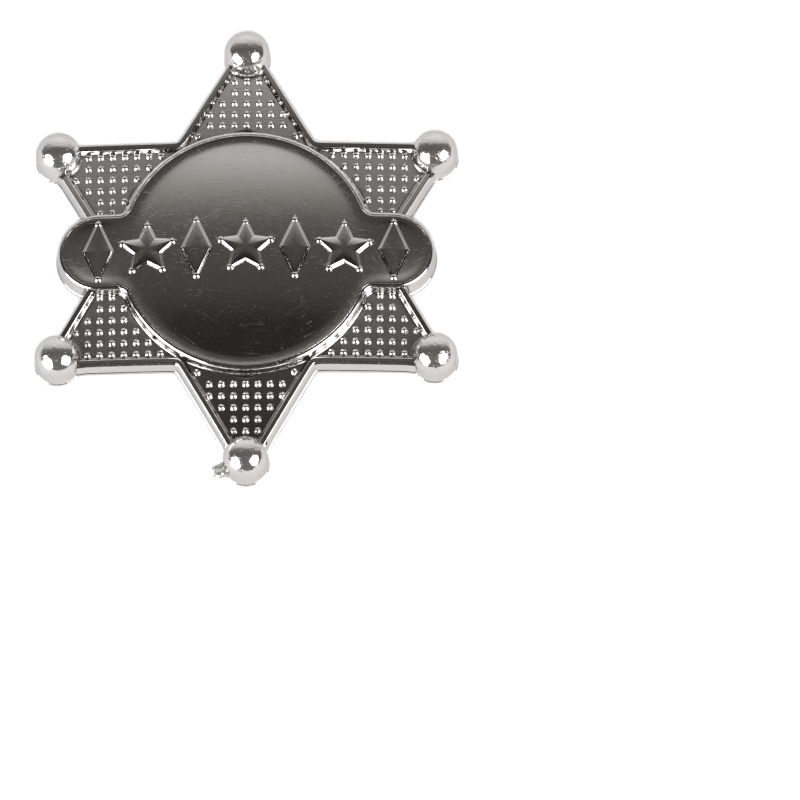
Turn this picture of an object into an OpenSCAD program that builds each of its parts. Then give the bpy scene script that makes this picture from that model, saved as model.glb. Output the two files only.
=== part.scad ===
// Six-pointed star badge: one hollow-backed moulding with ball tips, beaded arms, a domed disc
// and a banner with a raised star-and-lozenge ornament, and a bar pin fixed behind it.
// Millimetres. The badge lies on the feet of its tip balls, face up, its top arm towards +Y.
// The whole badge is gently crowned, so heights named here are measured from the back's surface.

/* [Star] */
// Centre to each tip ball's centre
ball_ring_r = 33.4; // [32:0.1:36]
// Centre to each straight edge of the star, at the back
edge_dist = 18.7; // [18:0.1:19.5]
// Lean of the outer walls, in from the back to the face
draft_deg = 8; // [2:1:12]
// Radius of the badge's crown, back and face alike
crown_r = 300; // [220:10:800]
// Height of the raised border
rim_h = 2.9; // [2.6:0.05:3.3]
// Width of the raised border
rim_w = 1.4; // [0.9:0.05:1.8]
// Depth of the arms' fields below the border
rim_depth = 0.8; // [0.4:0.05:1]
// Radius of the rounded corners between the arms
notch_r = 1; // [0.4:0.1:1.6]

/* [Tip balls] */
// Radius of each ball's dome
ball_r = 3.45; // [3:0.05:3.8]
// Radius of each ball's foot, at the back
ball_foot_r = 3.65; // [3.4:0.05:4]
// Height of each ball's centre
ball_h = 2.7; // [2.2:0.05:3.2]

/* [Beads] */
// Spacing of the bead grid, both ways
bead_pitch = 1.87; // [1.6:0.01:2.3]
// Radius of one bead
bead_r = 0.55; // [0.35:0.01:0.65]
// How far each bead's centre lies below the field
bead_sink = 0.1; // [0:0.01:0.15]
// Centre line to the first bead row in the side arms
side_row_y = 6.95; // [6:0.05:8]
// Centre line to the first bead row in the top and bottom arms
end_row_y = 19.5; // [18:0.05:21]
// Rows of beads in each arm
bead_rows = 6; // [2:1:8]

/* [Disc and banner] */
// Radius of the disc's edge
disc_r = 19.6; // [18.6:0.1:20.2]
// Half the length of the banner
banner_half_l = 28.75; // [27:0.05:30]
// Half the height of the banner
banner_half_h = 6.2; // [5.4:0.1:7]
// Radius of the corners where the banner meets the disc
corner_r = 1.5; // [0.5:0.1:3]
// Height of the lip round the disc and banner
lip_h = 3.7; // [3.4:0.05:4.2]
// Width of that lip
lip_w = 0.45; // [0.3:0.05:0.9]
// Depth of the floor inside the lip
lip_depth = 0.2; // [0.1:0.05:0.4]
// Radius of the dome over the disc
dome_r = 110; // [95:5:160]
// Height of the dome's top
dome_h = 4.4; // [4.3:0.05:5]

/* [Ornament] */
// Height of the raised ornament
relief_h = 0.45; // [0.2:0.05:0.8]
// Spacing of the ornament's figures
figure_pitch = 7.56; // [7:0.02:7.8]
// Radius of a five-pointed star, to its points
star_fig_r = 4.6; // [3:0.1:4.8]
// Radius of a five-pointed star, to its inner corners
star_fig_in_r = 2.2; // [1.2:0.1:2.5]
// Half the height of a lozenge
lozenge_half_h = 5.1; // [3:0.1:5.3]
// Half the width of a lozenge
lozenge_half_w = 2.3; // [1.2:0.1:2.6]
// Radius of the small knob on each point
knob_r = 0.6; // [0.4:0.05:0.8]

/* [Back] */
// Thickness of the outer walls
wall_t = 1.3; // [1:0.1:1.6]
// Thickness of the face
skin_t = 1.2; // [1:0.05:1.5]
// Width of the pad that carries the pin
pad_w = 5; // [4.5:0.5:7]
// How far the pad reaches past each end of the pin's bar
pad_end = 1; // [0.5:0.1:1.5]
// Height of that pad's face above the resting plane
pad_z = 3.6; // [3.2:0.05:4]

/* [Bar pin] */
// Length of the pin's bar
bar_l = 26; // [20:1:28]
// Width of the bar
bar_w = 4; // [3:0.5:4.5]
// Thickness of the bar
bar_t = 0.5; // [0.3:0.1:0.7]
// Radius of the pin's wire
wire_r = 0.4; // [0.3:0.05:0.5]
// Height of the wire's centre above the resting plane
wire_z = 1.1; // [0.9:0.05:1.4]
// Metal left below the wire in its block and catch
wire_cover = 0.12; // [0.1:0.01:0.3]
// Length of the block that holds the wire
block_l = 2.4; // [1.6:0.1:3]
// Width of the block and the catch
block_w = 2; // [1.4:0.1:2.8]
// Length of the catch
catch_l = 1.4; // [1:0.1:2]
// Clearance between the bar and its pad
bar_gap = 0.05; // [0.02:0.01:0.2]

/* [Gate stub] */
// How far the broken-off gate stands out of the bottom ball
stub_l = 1.6; // [0.5:0.1:2]
// Width of the stub
stub_w = 2.2; // [1:0.1:2.4]
// Height of the stub
stub_h = 1.3; // [0.8:0.1:1.6]
// Direction of the stub round its ball, from +X
stub_turn = 201; // [185:1:215]

/* [Hidden] */

$fn = 96;
crown_fn = 256;
knob_fn = 24;

draft = tan(draft_deg);
tips = [30 : 60 : 330];
field_h = rim_h - rim_depth;
floor_h = lip_h - lip_depth;
lobe_x = banner_half_l - banner_half_h;

// Overlap of a cutting or sunk shape past the face that it meets
over = 1;
// How far a knob stands above its figure's face
knob_over = 0.08;
// Figures on each side of the middle one. The outermost two stand past the dome, on the banner's floor.
side_figures = 3;
// Step between a ball's foot and its dome
foot_step = 0.1;

// The back's height on the axis, which puts the centres of the balls' feet at zero
back_z = sag(ball_ring_r);
tall = back_z + dome_h + relief_h + over;

// Clearances that a bead's centre keeps
bead_to_border = 0.3;
bead_to_disc = 0.9;
bead_to_banner = 0.5;
bead_to_ball = 0.3;
bead_cols = ceil(ball_ring_r / bead_pitch);

// How far the crown falls at distance r from the axis
function sag(r) = crown_r - sqrt(crown_r * crown_r - r * r);

// How far a point lies inside a triangle, and inside the star of two triangles
function in_triangle(p, edge, turn) =
    min([for (k = [0 : 2]) edge - p[0] * cos(turn + 120 * k) - p[1] * sin(turn + 120 * k)]);
function in_star(p, edge) = max(in_triangle(p, edge, 30), in_triangle(p, edge, 90));

// How far a point lies outside the banner, and outside the nearest ball
function off_banner(p) = norm([max(abs(p[0]) - lobe_x, 0), p[1]]) - banner_half_h;
function off_balls(p) = min([for (a = tips) norm(p - ball_ring_r * [cos(a), sin(a)]) - ball_r]);

// Every place of the bead grid that the arms' fields have room for
field_edge = edge_dist - draft * rim_h - rim_w;
bead_ys = concat([for (k = [0 : bead_rows - 1]) side_row_y + k * bead_pitch],
                 [for (k = [0 : bead_rows - 1]) end_row_y + k * bead_pitch]);
beads = [
    for (side = [-1, 1], y = bead_ys, col = [-bead_cols : bead_cols])
        let (p = [col * bead_pitch, side * y])
        if (in_star(p, field_edge) > bead_to_border && norm(p) > disc_r + bead_to_disc
            && off_banner(p) > bead_to_banner && off_balls(p) > bead_to_ball) p
];

// Everything under a crowned surface at height h above the back
module under_crown(h) {
    translate([0, 0, back_z + h - crown_r]) rotate([90, 0, 0]) sphere(r = crown_r, $fn = crown_fn);
}

// Everything under the dome, raised by lift
module under_dome(lift) {
    translate([0, 0, back_z + dome_h + lift - dome_r]) rotate([90, 0, 0]) sphere(r = dome_r, $fn = crown_fn);
}

// The star's outline with rounded inner corners
module star_outline(edge) {
    offset(r = -notch_r) offset(delta = notch_r)
        for (turn = [30, 90]) rotate(turn) circle(r = 2 * edge, $fn = 3);
}

module banner_outline() {
    hull() for (side = [-1, 1]) translate([side * lobe_x, 0]) circle(r = banner_half_h);
}

// Disc and banner as one outline, with rounded corners where they meet
module plate_outline() {
    offset(r = -corner_r) offset(delta = corner_r) {
        circle(r = disc_r);
        banner_outline();
    }
}

// A block whose outline has its drawn size at height at, and leans in with height.
// The draft is true at distance reach from the centre.
module leaning_block(at, reach) {
    foot = 1 + draft * at / reach;
    head = 1 - draft * (tall - at) / reach;
    linear_extrude(height = tall, scale = head / foot) scale(foot) children();
}

// Star with its crowned fields and raised border
module star_plate() {
    intersection() {
        leaning_block(0, edge_dist) star_outline(edge_dist);
        under_crown(field_h);
        cylinder(h = tall, r = ball_ring_r);
    }
    intersection() {
        difference() {
            leaning_block(0, edge_dist) star_outline(edge_dist);
            linear_extrude(height = tall) star_outline(field_edge);
        }
        under_crown(rim_h);
        cylinder(h = tall, r = ball_ring_r);
    }
}

// Disc and banner: a crowned floor with a raised lip round it
module lipped_plate() {
    intersection() {
        leaning_block(back_z + lip_h, disc_r) plate_outline();
        under_crown(floor_h);
    }
    intersection() {
        difference() {
            leaning_block(back_z + lip_h, disc_r) plate_outline();
            linear_extrude(height = tall) offset(r = -lip_w) plate_outline();
        }
        under_crown(lip_h);
    }
}

// Dome over the disc
module disc_dome() {
    intersection() {
        cylinder(h = tall, r = disc_r - lip_w);
        under_dome(0);
    }
}

// Points of the two figures: a five-pointed star with its inner corners, and a lozenge
star_points = [
    for (k = [0 : 9])
        let (r = k % 2 == 0 ? star_fig_r : star_fig_in_r)
        r * [-sin(36 * k), cos(36 * k)]
];
lozenge_points = [[lozenge_half_w, 0], [0, lozenge_half_h], [-lozenge_half_w, 0], [0, -lozenge_half_h]];

// Height of the surface that carries figure k, at point p
function carrier_z(k, p) = abs(k) < side_figures
    ? back_z + dome_h - dome_r + sqrt(dome_r * dome_r - p * p)
    : back_z + floor_h - sag(norm(p));

// One figure of the ornament, standing relief_h above the surface that carries it,
// with a small knob on each of its points. Its foot lies within the face's thickness.
module figure(k) {
    points = k % 2 == 0 ? star_points : lozenge_points;
    tip_step = k % 2 == 0 ? 2 : 1;
    foot_h = floor_h - skin_t / 2 - sag(abs(k) * figure_pitch + star_fig_r);
    intersection() {
        translate([k * figure_pitch, 0, back_z + foot_h])
            linear_extrude(height = tall) polygon(points);
        if (abs(k) < side_figures) under_dome(relief_h); else under_crown(floor_h + relief_h);
    }
    for (i = [0 : tip_step : len(points) - 1]) {
        shrink = 1 - knob_r / norm(points[i]);
        p = [k * figure_pitch, 0] + shrink * points[i];
        translate([p[0], p[1], carrier_z(k, p) + relief_h + knob_over - knob_r])
            sphere(r = knob_r, $fn = knob_fn);
    }
}

module bead_field() {
    for (p = beads)
        translate([p[0], p[1], back_z - sag(norm(p)) + field_h - bead_sink])
            sphere(r = bead_r, $fn = knob_fn);
}

// One tip ball: a dome on a flat foot that leans in
module tip_ball() {
    rotate_extrude() intersection() {
        union() {
            translate([0, ball_h]) circle(r = ball_r);
            polygon([[0, 0], [ball_foot_r, 0], [ball_r - foot_step, ball_h], [0, ball_h]]);
        }
        square([ball_foot_r + over, tall]);
    }
}

// The broken-off gate on the left of the bottom ball
module gate_stub() {
    translate([0, -ball_ring_r, 0]) rotate(stub_turn)
        translate([ball_r - over, -stub_w / 2, stub_h / 2]) cube([stub_l + over, stub_w, stub_h]);
}

// Hollows behind the face, skin_t under it and wall_t inside the outer walls
module arm_hollow() {
    intersection() {
        linear_extrude(height = tall) star_outline(edge_dist - wall_t);
        under_crown(field_h - skin_t);
        cylinder(h = tall, r = ball_ring_r);
    }
}

module plate_hollow() {
    intersection() {
        linear_extrude(height = tall) offset(r = -wall_t) plate_outline();
        under_crown(floor_h - skin_t);
    }
}

module dome_hollow() {
    intersection() {
        cylinder(h = tall, r = disc_r - lip_w - wall_t);
        under_dome(-skin_t);
    }
}

// A tapered core inside each ball, with a roof of wall_t and skin_t together
module ball_core() {
    translate([0, 0, -over])
        cylinder(h = over + ball_h + ball_r - wall_t - skin_t,
                 r1 = ball_foot_r - wall_t, r2 = (ball_r - wall_t) / 2);
}

// What lies below the crowned back
module below_back() {
    intersection() {
        under_crown(0);
        cylinder(h = tall, r = ball_ring_r);
    }
}

// The pad in the hollow that the pin's bar is fixed to
module pin_pad() {
    intersection() {
        translate([-bar_l / 2 - pad_end, -pad_w / 2, pad_z]) cube([bar_l + 2 * pad_end, pad_w, tall]);
        under_dome(-skin_t / 2);
    }
}

// Plates, ornament and beads are hollowed first, so each ball keeps a whole ring for its foot
module star_shell() {
    color("silver") union() {
        difference() {
            union() {
                difference() {
                    union() {
                        star_plate();
                        lipped_plate();
                        disc_dome();
                        for (k = [-side_figures : side_figures]) figure(k);
                        bead_field();
                    }
                    below_back();
                    arm_hollow();
                    plate_hollow();
                    dome_hollow();
                }
                for (a = tips) rotate(a) translate([ball_ring_r, 0, 0]) tip_ball();
                gate_stub();
            }
            for (a = tips) rotate(a) translate([ball_ring_r, 0, 0]) ball_core();
        }
        pin_pad();
    }
}

// Block or catch of length l, from x on, round the wire and up into the bar
module wire_holder(x, l, bar_z) {
    foot_z = wire_z - wire_r - wire_cover;
    translate([x, -block_w / 2, foot_z]) cube([l, block_w, bar_z + bar_t / 2 - foot_z]);
}

// Bar, block, wire and catch of the pin, in one plain piece
module bar_pin() {
    bar_z = pad_z - bar_gap - bar_t;
    color("lightgrey") union() {
        translate([-bar_l / 2, -bar_w / 2, bar_z]) cube([bar_l, bar_w, bar_t]);
        wire_holder(-bar_l / 2, block_l, bar_z);
        wire_holder(bar_l / 2 - block_l, catch_l, bar_z);
        translate([-bar_l / 2 + block_l / 2, 0, wire_z]) rotate([0, 90, 0])
            cylinder(h = bar_l - block_l, r = wire_r);
    }
}

star_shell();
bar_pin();
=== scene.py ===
"""Six-pointed star badge: the plated star and its parts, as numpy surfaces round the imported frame.

Everything is in metres. The badge lies on the feet of its tip balls, face up, its top arm towards +Y.
Heights called h are measured from the crowned back surface, and insets called d from an outline inwards.
"""

import math

import bpy
import numpy as np
from bpy.props import FloatProperty, FloatVectorProperty, IntProperty, PointerProperty
from mathutils import Matrix, Vector


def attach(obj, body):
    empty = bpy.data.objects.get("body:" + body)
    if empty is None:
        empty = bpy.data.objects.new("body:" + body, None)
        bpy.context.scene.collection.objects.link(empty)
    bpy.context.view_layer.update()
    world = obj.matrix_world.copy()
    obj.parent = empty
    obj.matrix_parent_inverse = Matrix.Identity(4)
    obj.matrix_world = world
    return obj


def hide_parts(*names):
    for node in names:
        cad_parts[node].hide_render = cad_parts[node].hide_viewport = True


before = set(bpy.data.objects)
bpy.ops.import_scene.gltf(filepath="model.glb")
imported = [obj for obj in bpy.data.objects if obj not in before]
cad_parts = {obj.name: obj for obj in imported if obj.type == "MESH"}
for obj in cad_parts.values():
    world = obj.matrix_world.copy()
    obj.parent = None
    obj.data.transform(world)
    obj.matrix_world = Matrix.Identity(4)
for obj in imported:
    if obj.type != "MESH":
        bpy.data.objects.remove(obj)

bl_info = {
    "name": "Star Badge",
    "version": (1, 0, 0),
    "blender": (4, 5, 0),
    "location": "3D Viewport > Sidebar > Badge",
    "description": "Builds a plated six-pointed star badge with ball tips round its packed frame",
    "category": "Add Mesh",
}

MM = 0.001
MICRON = 0.000001
QUARTER = 0.5 * math.pi
SHELL = "star_shell"
PIN = "bar_pin"
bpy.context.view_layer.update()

# Directions of the six tips from +X, and the angle between them
TIPS = np.radians(np.arange(30, 360, 60))
SECTOR = math.radians(60)

# Roundings of a corner that looks sharp, and of the edges at the back
CREASE = 0.02 * MM
SOFT_EDGE = 0.08 * MM
# Half the width of the parting line
HALF_PARTING = 0.13 * MM
# How far the floor starts below the lip's top
LIP_STEP = 0.03 * MM
# An inset that is far inside the lip
FAR_IN = 1.0
# How far a knob stands above its figure's face
KNOB_RISE = 0.08 * MM
# Ornament figures on each side of the middle one
SIDE_FIGURES = 3


# Properties


def length(label, millimetres, words):
    """A length property whose default is given in millimetres."""
    return FloatProperty(name=label, description=words, default=millimetres * MM, unit="LENGTH",
                         subtype="DISTANCE", precision=5)


def share(label, value, words):
    """A factor property between 0 and 1."""
    return FloatProperty(name=label, description=words, default=value, min=0.0, max=1.0, subtype="FACTOR")


def turn(label, degrees, words):
    """An angle property whose default is given in degrees."""
    return FloatProperty(name=label, description=words, default=math.radians(degrees), unit="ROTATION",
                         subtype="ANGLE")


def tint(label, colour, words):
    """A colour property."""
    return FloatVectorProperty(name=label, description=words, default=colour, size=3, min=0.0, max=1.0,
                               subtype="COLOR")


def number(label, value, words):
    """A plain number property."""
    return FloatProperty(name=label, description=words, default=value)


def count(label, value, words, least=0):
    """A whole number property."""
    return IntProperty(name=label, description=words, default=value, min=least)


class BadgeStarSizes(bpy.types.PropertyGroup):
    ball_ring: length("Ball ring", 33.4, "Centre of the badge to each tip ball's centre")
    edge: length("Edge distance", 18.7, "Centre to each straight edge of the star, at the back")
    crown: length("Crown radius", 300.0, "Radius of the gentle crown of back and face")
    draft: turn("Draft", 8.0, "Lean of the outer walls, in from the back to the face")
    rim: length("Border height", 2.9, "Height of the raised border")
    rim_inner: length("Border inset", 1.4, "Outer edge at the back to the border's inner edge")
    rim_fall: length("Border fall", 0.06, "How far the border's top falls towards the field")
    rim_round: length("Border inner rounding", 0.22, "Rounding of the border's inner edge")
    field: length("Field height", 2.1, "Height of the beaded fields")
    field_inset: length("Field inset", 1.9, "Outer edge at the back to the foot of the border's slope")
    edge_round: length("Edge rounding", 0.12, "Rounding of the border's outer edge")
    bevel: length("Edge bevel", 0.26, "How far the bevel under the border's outer edge goes in")
    bevel_drop: length("Bevel drop", 0.42, "How far that bevel goes down")
    notch: length("Notch radius", 1.0, "Rounding of the corners between the arms")
    neck: length("Neck flare", 0.3, "Spread of the arms' walls where they meet the balls")
    wall: length("Wall", 1.3, "Thickness of the outer walls")
    skin: length("Skin", 1.2, "Thickness of the face")
    parting: length("Parting height", 0.6, "Height of the parting line on the outer walls")
    parting_depth: length("Parting depth", 0.2, "Depth of the parting line")


class BadgePlateSizes(bpy.types.PropertyGroup):
    disc: length("Disc radius", 19.6, "Radius of the disc's edge")
    half_length: length("Banner half length", 28.75, "Centre to the banner's round ends")
    half_height: length("Banner half height", 6.2, "Centre line to the banner's edge")
    corner: length("Corner radius", 1.5, "Rounding where the banner meets the disc")
    lip: length("Lip height", 3.7, "Height of the lip round disc and banner")
    lip_width: length("Lip width", 0.6, "Width of the lip")
    lip_round: length("Lip rounding", 0.5, "Rounding of the lip's outer edge")
    floor: length("Floor height", 3.5, "Height of the floor inside the lip")
    dish: length("Dish width", 1.7, "Distance over which the floor falls away from the lip")
    dome: length("Dome height", 4.4, "Height of the dome's top")
    dome_radius: length("Dome radius", 110.0, "Radius of the dome over the disc")
    bowl_radius: length("Bowl radius", 52.0, "Radius of the hollow in the banner's ends")
    bowl_depth: length("Bowl depth", 0.13, "Depth of that hollow below the floor")
    foot_flare: length("Foot flare", 0.4, "Spread of the wall's foot on the fields")


class BadgeBallSizes(bpy.types.PropertyGroup):
    radius: length("Ball radius", 3.45, "Radius of each ball's dome")
    foot: length("Foot radius", 3.65, "Radius of each ball's foot")
    height: length("Ball height", 2.7, "Height of each ball's centre")
    collar: length("Collar", 0.32, "Spread of each ball's foot on its field")
    stub_length: length("Stub length", 1.6, "How far the broken-off gate stands out of the bottom ball")
    stub_width: length("Stub width", 2.2, "Width of the gate stub")
    stub_height: length("Stub height", 1.3, "Height of the gate stub")
    stub_turn: turn("Stub direction", 201.0, "Direction of the gate stub, from +X")
    seed: count("Seed", 7, "Seed of the stub's roughness")


class BadgeBeadSizes(bpy.types.PropertyGroup):
    pitch: length("Pitch", 1.87, "Spacing of the bead grid")
    radius: length("Bead radius", 0.6, "Radius of one bead")
    sink: length("Sink", 0.1, "How far each bead's centre lies below the field")
    side_row: length("Side rows", 6.95, "Centre line to the first row in the side arms")
    end_row: length("End rows", 19.5, "Centre line to the first row in the top and bottom arms")
    rows: count("Rows", 6, "Rows of beads in each arm", least=1)


class BadgeOrnamentSizes(bpy.types.PropertyGroup):
    relief: length("Relief", 0.4, "Height of the raised ornament")
    pitch: length("Spacing", 7.56, "Spacing of the ornament's figures")
    star_tip: length("Star radius", 4.6, "Radius of a five-pointed star, to its points")
    star_inner: length("Star inner radius", 2.2, "Radius of a five-pointed star, to its inner corners")
    lozenge_height: length("Lozenge half height", 5.1, "Half the height of a lozenge")
    lozenge_width: length("Lozenge half width", 2.3, "Half the width of a lozenge")
    knob: length("Knob radius", 0.6, "Radius of the small knob on each point")
    bevel: length("Bevel", 0.3, "Rounding of the figures' top edges")
    pillow: length("Pillow", 0.17, "How much higher a figure is in its middle than at its edge")


class BadgeBackSizes(bpy.types.PropertyGroup):
    pad_length: length("Pad length", 28.0, "Length of the pad that carries the pin")
    pad_width: length("Pad width", 5.0, "Width of that pad")
    pad_face: length("Pad face", 3.6, "Height of the pad's face above the resting plane")
    pad_round: length("Pad rounding", 0.5, "Rounding of the pad's edges")


class BadgeFinish(bpy.types.PropertyGroup):
    plating: tint("Plating", (0.61, 0.595, 0.585), "Colour of the plated skin")
    edge: tint("Edge tint", (0.6, 0.6, 0.6), "Colour of the plated skin seen at a slant, beside its own")
    steel: tint("Steel", (0.55, 0.55, 0.56), "Colour of the pin")
    gloss: share("Roughness", 0.07, "Roughness of the plated skin")
    satin: share("Disc roughness", 0.1, "Roughness of the disc's satin streaks")
    grain: length("Field grain", 0.014, "Depth of the fields' grain")
    worn: share("Field wear", 0.2, "Roughness that wear adds to the fields of the side arms")


class BadgeStage(bpy.types.PropertyGroup):
    tilt: turn("Tilt", 21.3, "Camera's angle from straight above, towards the lower arm")
    side: turn("Side", 1.2, "Camera's angle to the right of the badge's middle line")
    roll: turn("Roll", 0.05, "Turn of the picture")
    distance: number("Distance", 3.1, "Metres from the camera to the badge")
    scale: number("Pixels per millimetre", 6.51, "Scale of the badge in the picture")
    centre_x: number("Centre X", 246.8, "Picture column of the badge's centre")
    centre_y: number("Centre Y", 261.85, "Picture row of the badge's centre")
    picture: count("Picture", 800, "Side of the square picture in pixels", least=1)
    floor: tint("Floor", (0.9, 0.9, 0.9), "Colour of the floor")


GROUPS = {
    "badge_star": BadgeStarSizes,
    "badge_plate": BadgePlateSizes,
    "badge_balls": BadgeBallSizes,
    "badge_beads": BadgeBeadSizes,
    "badge_ornament": BadgeOrnamentSizes,
    "badge_back": BadgeBackSizes,
    "badge_finish": BadgeFinish,
    "badge_stage": BadgeStage,
}


# Curves and profiles


def smooth_step(low, high, x):
    """0 below low, 1 above high, and 3t*t - 2t*t*t between them."""
    t = np.clip((x - low) / (high - low), 0.0, 1.0)
    return t * t * (3.0 - 2.0 * t)


def smooth_max(a, b, width):
    """Half of a + b + sqrt((a - b)**2 + width**2), the larger of two values with a rounded join."""
    return 0.5 * (a + b + np.sqrt((a - b) ** 2 + width**2))


def full_turn(steps):
    """Even angles round a full turn, the last one a step short of the first."""
    return np.linspace(0.0, 2.0 * np.pi, steps, endpoint=False)


def rounded(corners, steps=5, hold=0.03 * MM):
    """A profile through corners of (inset, height, radius), each corner replaced by an arc of its radius.

    The arc starts and ends where the two sides touch it, and a point between is the mean of both ends,
    weighted by the sines of its angles to them. A point that lies hold before the arc and one hold
    after it keep the flat stretches between corners flat under smooth shading.
    """
    corners = np.asarray(corners, float)
    rows = [corners[0, :2]]
    for before, corner, after in zip(corners[:-2], corners[1:-1], corners[2:]):
        back = before[:2] - corner[:2]
        ahead = after[:2] - corner[:2]
        back /= np.linalg.norm(back)
        ahead /= np.linalg.norm(ahead)
        half = 0.5 * math.acos(np.clip(back @ ahead, -1.0, 1.0))
        reach = corner[2] / math.tan(half)
        inwards = (back + ahead) / np.linalg.norm(back + ahead)
        middle = corner[:2] + inwards * corner[2] / math.sin(half)
        start = corner[:2] + back * reach
        end = corner[:2] + ahead * reach
        bend = math.pi - 2.0 * half
        t = np.linspace(0.0, 1.0, steps + 1)[:, None]
        from_start = np.sin((1.0 - t) * bend) * (start - middle)
        arc = (from_start + np.sin(t * bend) * (end - middle)) / math.sin(bend)
        rows.extend([start + back * hold, *(middle + arc), end + ahead * hold])
    rows.append(corners[-1, :2])
    return np.array(rows)


def parting_corners(star, wall_at, way=1.0):
    """Three corners of the parting line: above it, in it and below it.

    The wall stands at wall_at(h), and the line's bottom lies its depth further, in the way given.
    """
    upper, lower = star.parting + HALF_PARTING, star.parting - HALF_PARTING
    return [
        (wall_at(upper), upper, CREASE),
        (wall_at(star.parting) + way * star.parting_depth, star.parting, CREASE),
        (wall_at(lower), lower, CREASE),
    ]


def crown_fall(star, r):
    """Fall of the crown at distance r from the axis: R - sqrt(R*R - r*r)."""
    return star.crown - np.sqrt(star.crown**2 - r * r)


def crown_height(star, x, y, h):
    """Z of a point at height h above the crowned back, whose centre lifts the balls' feet to zero."""
    return crown_fall(star, star.ball_ring) - crown_fall(star, np.hypot(x, y)) + h


def dome_height(star, plate, x, y):
    """Z of the dome: its top's height less R - sqrt(R*R - r*r)."""
    fall = plate.dome_radius - np.sqrt(plate.dome_radius**2 - x * x - y * y)
    return crown_fall(star, star.ball_ring) + plate.dome - fall


def face_height(star, plate, x, y, d):
    """Z of the face of disc and banner: the dome joined to a floor that falls from the lip as a parabola.

    In the banner's ends the floor is a shallow bowl: r*r / 2R less its depth.
    """
    bowl_fade = 6.0 * MM
    dome_join = 0.08 * MM
    fall = np.clip((plate.lip_width + plate.dish - d) / plate.dish, 0.0, 1.0) ** 2
    end = np.abs(x) - (plate.half_length - plate.half_height)
    bowl = (end**2 + y * y) / (2.0 * plate.bowl_radius) - plate.bowl_depth
    low = plate.floor + bowl * smooth_step(-bowl_fade, 0.0, end)
    floor = low + (plate.lip - LIP_STEP - low) * fall
    return smooth_max(dome_height(star, plate, x, y), crown_height(star, x, y, floor), dome_join)


def star_radius(theta, edge, softness):
    """Polar outline of the six-pointed star of two triangles: edge over the smaller of their two cosines.

    A triangle's cosine is the largest of cos(theta - normal) over its three sides. The softness rounds
    the join of the two triangles, which is the corner between two arms.
    """
    cosines = [
        np.max([np.cos(theta - math.radians(first + 120 * k)) for k in range(3)], axis=0)
        for first in (30, 90)
    ]
    return edge / (cosines[0] + cosines[1] - smooth_max(cosines[0], cosines[1], softness))


def inside_star(star, x, y):
    """How far a point lies inside the star's edge: edge * (1 - r / outline's radius)."""
    return star.edge - np.hypot(x, y) * star.edge / star_radius(np.arctan2(y, x), star.edge, 0.0)


def sector_angles(steps, crowding=0.8):
    """Angles round the star, closer together at its notches and tips.

    In each half sector they are t - a*sin(2*pi*t)/(2*pi), where a is the crowding.
    """
    t = np.arange(steps) / steps
    spread = t - crowding * np.sin(2.0 * np.pi * t) / (2.0 * np.pi)
    return (np.arange(12)[:, None] + spread[None, :]).ravel() * 0.5 * SECTOR


def plate_outline(plate, lobe=36, flat=8, corner=14, disc=82):
    """Points and outward normals of the outline of disc and banner, by arcs and a line in each quarter.

    In the first quarter: the banner's round end, its straight edge, the hollow corner and the disc's arc.
    The second quarter mirrors the first, and the lower half is the upper one turned by 180 degrees.
    """
    end_x = plate.half_length - plate.half_height
    corner_y = plate.half_height + plate.corner
    corner_x = math.sqrt((plate.disc + plate.corner) ** 2 - corner_y**2)
    meeting = math.atan2(corner_y, corner_x)
    angles = (
        np.linspace(0.0, QUARTER, lobe, endpoint=False),
        np.linspace(3.0 * QUARTER, math.pi + meeting, corner, endpoint=False),
        np.linspace(meeting, QUARTER, disc, endpoint=False),
    )
    lobe_way, corner_way, disc_way = (np.stack([np.cos(a), np.sin(a)], 1) for a in angles)
    line_x = np.linspace(end_x, corner_x, flat, endpoint=False)
    points = np.concatenate([
        [end_x, 0.0] + plate.half_height * lobe_way,
        np.stack([line_x, np.full(flat, plate.half_height)], 1),
        [corner_x, corner_y] + plate.corner * corner_way,
        plate.disc * disc_way,
    ])
    normals = np.concatenate([lobe_way, np.tile([0.0, 1.0], (flat, 1)), -corner_way, disc_way])
    top = np.array([[0.0, plate.disc]]), np.array([[0.0, 1.0]])
    quarter = [np.concatenate([part, end]) for part, end in zip((points, normals), top)]
    half = [np.concatenate([q, q[-2:0:-1] * [-1.0, 1.0]]) for q in quarter]
    return tuple(np.concatenate([h, -h]) for h in half)


# Meshes


def ring_grid(rings, loop=False):
    """Quads between neighbouring rings of points, given as an array of (ring, point, xyz).

    With loop the last ring joins the first. Otherwise each end is closed by a fan to the mean of its ring.
    """
    rows, around = rings.shape[:2]
    points = rings.reshape(-1, 3)
    index = np.arange(rows * around).reshape(rows, around)
    upper = index if loop else index[:-1]
    lower = np.roll(index, -1, 0) if loop else index[1:]
    quads = np.stack([upper, np.roll(upper, -1, 1), np.roll(lower, -1, 1), lower], -1).reshape(-1, 4)
    if loop:
        return points, quads, np.empty((0, 3), int)
    ends = []
    for row, centre in ((index[0], len(points)), (index[-1][::-1], len(points) + 1)):
        ends.append(np.stack([np.full(around, centre), np.roll(row, -1), row], -1))
    points = np.concatenate([points, rings[[0, -1]].mean(1)])
    return points, quads, np.concatenate(ends)


def small_dome(radius, degrees, flare, foot, around):
    """A small dome: radius times (sin a, cos a) for each angle a, and a ring flare times as wide at foot."""
    a = np.radians(degrees)
    r = np.concatenate([radius * np.sin(a), [radius * flare]])[:, None]
    z = np.concatenate([radius * np.cos(a), [foot]])[:, None]
    phi = full_turn(around)
    return ring_grid(np.stack(np.broadcast_arrays(r * np.cos(phi), r * np.sin(phi), z), -1))


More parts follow.
